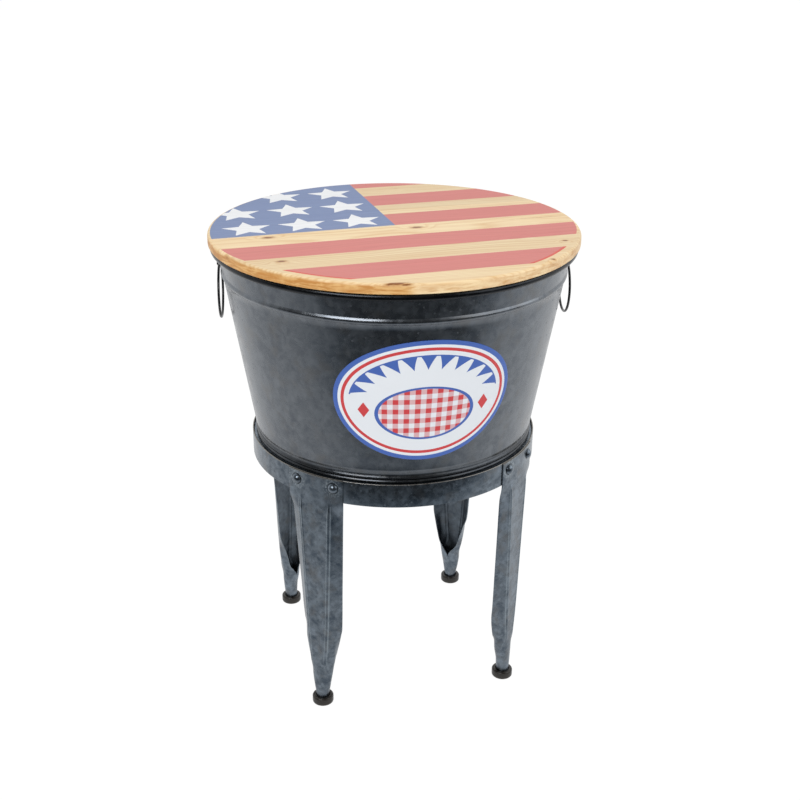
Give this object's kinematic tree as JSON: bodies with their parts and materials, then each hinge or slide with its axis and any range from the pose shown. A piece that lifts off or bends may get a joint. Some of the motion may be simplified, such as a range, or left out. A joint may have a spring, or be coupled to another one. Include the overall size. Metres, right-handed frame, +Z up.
{
  "type": "patio cooler",
  "caption": "Round tapered metal drinks tub with ring handles and a lift-off wooden lid, standing loose in a hoop on pressed sheet legs.",
  "frame": {"origin": "on the floor at the tub's axis, which is the middle of the footprint", "axes": "+Z up, front towards -Y, the stripes of the lid run nearly along X"},
  "size_m": [0.5, 0.5, 0.6563],
  "materials": {
    "lid_wood": "clear lacquered pine with a matt printed top",
    "batten_wood": "planed pine",
    "zinc_steel": "zinc plated steel",
    "tub_steel": "dark blue-grey mottled galvanised sheet, satin gloss",
    "stand_steel": "dark blue-grey mottled galvanised sheet, satin",
    "label_print": "printed oval label in blue, red and white",
    "black_steel": "black gloss paint",
    "foot_plastic": "dark bronze moulded plastic"
  },
  "bodies": {
    "stand": {"stand_hoop": "stand_steel", "stand_ledge": "stand_steel", "leg_front_left": "stand_steel", "leg_front_right": "stand_steel", "leg_back_right": "stand_steel", "leg_back_left": "stand_steel", "leg_bolts": "stand_steel", "leg_nuts": "zinc_steel", "foot_front_left": "foot_plastic", "foot_front_right": "foot_plastic", "foot_back_right": "foot_plastic", "foot_back_left": "foot_plastic"},
    "tub": {"tub_wall": "tub_steel", "tub_bottom": "tub_steel", "rim_wire": "zinc_steel", "label_plate": "label_print", "handle_ear_left": "black_steel", "handle_ear_right": "black_steel", "ear_rivets": "black_steel"},
    "lid": {"lid_board_1": "lid_wood", "lid_board_2": "lid_wood", "lid_board_3": "lid_wood", "lid_board_4": "lid_wood", "lid_board_5": "lid_wood", "lid_board_6": "lid_wood", "lid_batten_left": "batten_wood", "lid_batten_right": "batten_wood", "batten_screws": "zinc_steel"},
    "handle_left": {"handle_ring_left": "black_steel"},
    "handle_right": {"handle_ring_right": "black_steel"}
  },
  "joints": [
    {"name": "tub_lift", "type": "slide", "parent": "stand", "child": "tub", "axis": [0, 0, 1], "range_m": [0, 0.3]},
    {"name": "lid_lift", "type": "slide", "parent": "tub", "child": "lid", "axis": [0, 0, 1], "range_m": [0, 0.3]},
    {"name": "handle_right_swing", "type": "hinge", "parent": "tub", "child": "handle_right", "pos_m": [0.23257, -0.0431, 0.6093], "axis": [-0.1822, -0.9833, 0], "range_deg": [-5, 150]},
    {"name": "handle_left_swing", "type": "hinge", "parent": "tub", "child": "handle_left", "pos_m": [-0.23257, 0.0431, 0.6093], "axis": [0.1822, 0.9833, 0], "range_deg": [-5, 150]}
  ]
}
